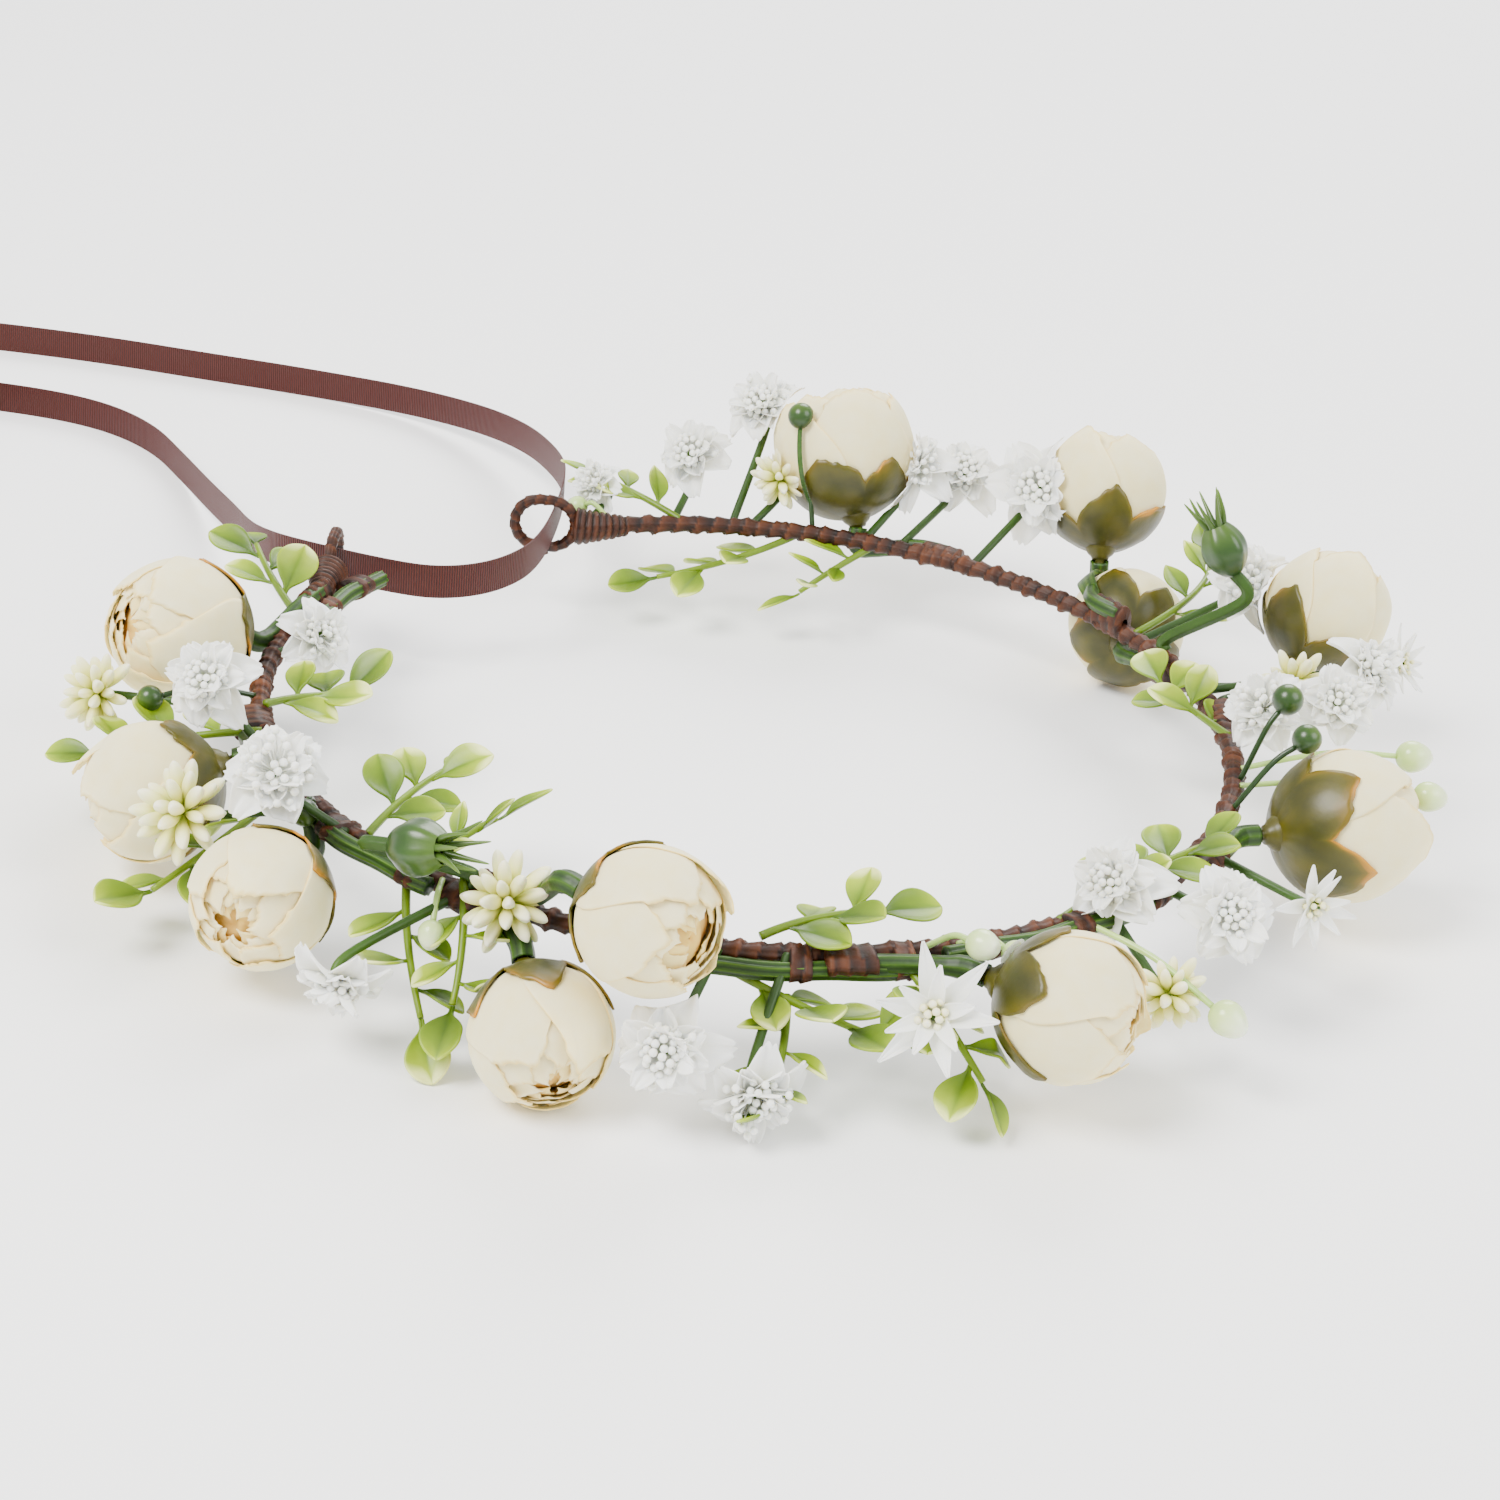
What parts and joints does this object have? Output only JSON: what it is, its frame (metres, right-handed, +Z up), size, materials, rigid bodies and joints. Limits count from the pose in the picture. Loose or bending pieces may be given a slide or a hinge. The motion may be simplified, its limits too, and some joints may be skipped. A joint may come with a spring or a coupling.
{
  "type": "flower crown",
  "caption": "Flower crown on an open taped wire hoop, with ivory ranunculus buds, white blossoms, green leaf sprigs and pods, closed by a brown grosgrain ribbon through two end loops",
  "frame": {"origin": "on the hoop axis, on the surface that the crown lies on", "axes": "+Z up along the hoop axis, -Y towards the front spray of the crown, +X to the right seen from the front, the tie gap at the back left"},
  "size_m": [0.383, 0.3788, 0.0585],
  "materials": {
    "ivory_petals": "matte woven petal cloth, cream edges",
    "calyx_green": "olive moulded plastic, semi-gloss, ochre sepal tips",
    "stem_green": "dark green moulded stems, fine ribs",
    "brown_tape": "waxed crepe floral tape wound in ridges",
    "hoop_steel": "plain annealed wire",
    "brown_ribbon": "ribbed grosgrain with a purplish sheen",
    "leaf_plastic": "soft plastic, yellow-green fading to whitish tips",
    "white_blossom": "thin translucent white petals",
    "cream_cluster": "soft plastic, cream to yellow-green",
    "pod_green": "glossy dark green pods and balls",
    "pale_drops": "pale green glossy drops"
  },
  "bodies": {
    "crown": {"bud_stems": "stem_green", "cluster_stalks": "stem_green", "cream_clusters": "cream_cluster", "eyelet_tape_left": "brown_tape", "eyelet_tape_right": "brown_tape", "green_berries": "pod_green", "hoop_tape": "brown_tape", "hoop_wire": "hoop_steel", "leaf_sprigs_back": "leaf_plastic", "leaf_sprigs_back_right": "leaf_plastic", "leaf_sprigs_front": "leaf_plastic", "leaf_sprigs_front_left": "leaf_plastic", "leaf_sprigs_left": "leaf_plastic", "leaf_sprigs_right": "leaf_plastic", "neck_wrap_left": "brown_tape", "neck_wrap_right": "brown_tape", "pale_drops": "pale_drops", "ribbon_between_loops": "brown_ribbon", "ribbon_coil_left": "brown_ribbon", "ribbon_coil_right": "brown_ribbon", "ribbon_tail_left": "brown_ribbon", "ribbon_tail_right": "brown_ribbon", "seed_pods": "pod_green", "star_inner_petals": "white_blossom", "star_knobs": "cream_cluster", "star_outer_petals": "white_blossom", "star_stalks": "stem_green", "stem_ties": "brown_tape", "vine_stems": "stem_green", "white_inner_petals": "white_blossom", "white_knobs": "cream_cluster", "white_outer_petals": "white_blossom", "white_stalks": "stem_green"},
    "bud_01": {"bud_01_petals": "ivory_petals", "bud_01_calyx": "calyx_green"},
    "bud_02": {"bud_02_petals": "ivory_petals", "bud_02_calyx": "calyx_green"},
    "bud_03": {"bud_03_petals": "ivory_petals", "bud_03_calyx": "calyx_green"},
    "bud_04": {"bud_04_petals": "ivory_petals", "bud_04_calyx": "calyx_green"},
    "bud_05": {"bud_05_petals": "ivory_petals", "bud_05_calyx": "calyx_green"},
    "bud_06": {"bud_06_petals": "ivory_petals", "bud_06_calyx": "calyx_green"},
    "bud_07": {"bud_07_petals": "ivory_petals", "bud_07_calyx": "calyx_green"},
    "bud_08": {"bud_08_petals": "ivory_petals", "bud_08_calyx": "calyx_green"},
    "bud_09": {"bud_09_petals": "ivory_petals", "bud_09_calyx": "calyx_green"},
    "bud_10": {"bud_10_petals": "ivory_petals", "bud_10_calyx": "calyx_green"},
    "bud_11": {"bud_11_petals": "ivory_petals", "bud_11_calyx": "calyx_green"}
  },
  "joints": [
    {"name": "bud_01_swivel", "type": "hinge", "parent": "crown", "child": "bud_01", "pos_m": [-0.106, -0.0025, 0.027], "axis": [-0.6667, -0.6667, 0.3333], "range_deg": [-180, 180]},
    {"name": "bud_02_swivel", "type": "hinge", "parent": "crown", "child": "bud_02", "pos_m": [-0.102, -0.046, 0.016], "axis": [-0.8835, -0.3313, -0.3313], "range_deg": [-180, 180]},
    {"name": "bud_03_swivel", "type": "hinge", "parent": "crown", "child": "bud_03", "pos_m": [-0.077, -0.08, 0.016], "axis": [-0.3011, -0.9536, 0], "range_deg": [-180, 180]},
    {"name": "bud_04_swivel", "type": "hinge", "parent": "crown", "child": "bud_04", "pos_m": [-0.028, -0.107, 0.0115], "axis": [0.3042, -0.8619, -0.4056], "range_deg": [-180, 180]},
    {"name": "bud_05_swivel", "type": "hinge", "parent": "crown", "child": "bud_05", "pos_m": [-0.0125, -0.105, 0.0325], "axis": [0.7798, -0.6239, 0.052], "range_deg": [-180, 180]},
    {"name": "bud_06_swivel", "type": "hinge", "parent": "crown", "child": "bud_06", "pos_m": [0.055, -0.098, 0.02], "axis": [0.9126, -0.4056, -0.0507], "range_deg": [-180, 180]},
    {"name": "bud_07_swivel", "type": "hinge", "parent": "crown", "child": "bud_07", "pos_m": [0.108, -0.025, 0.02], "axis": [0.9505, 0.3066, 0.0511], "range_deg": [-180, 180]},
    {"name": "bud_08_swivel", "type": "hinge", "parent": "crown", "child": "bud_08", "pos_m": [0.112, 0.049, 0.03], "axis": [0.4635, 0.515, 0.721], "range_deg": [-180, 180]},
    {"name": "bud_09_swivel", "type": "hinge", "parent": "crown", "child": "bud_09", "pos_m": [0.076, 0.0727, 0.0127], "axis": [0.101, 0.9897, -0.101], "range_deg": [-180, 180]},
    {"name": "bud_10_swivel", "type": "hinge", "parent": "crown", "child": "bud_10", "pos_m": [0.07, 0.094, 0.034], "axis": [0, 0.6, 0.8], "range_deg": [-180, 180]},
    {"name": "bud_11_swivel", "type": "hinge", "parent": "crown", "child": "bud_11", "pos_m": [0.015, 0.104, 0.034], "axis": [-0.2494, 0.5486, 0.798], "range_deg": [-180, 180]}
  ]
}
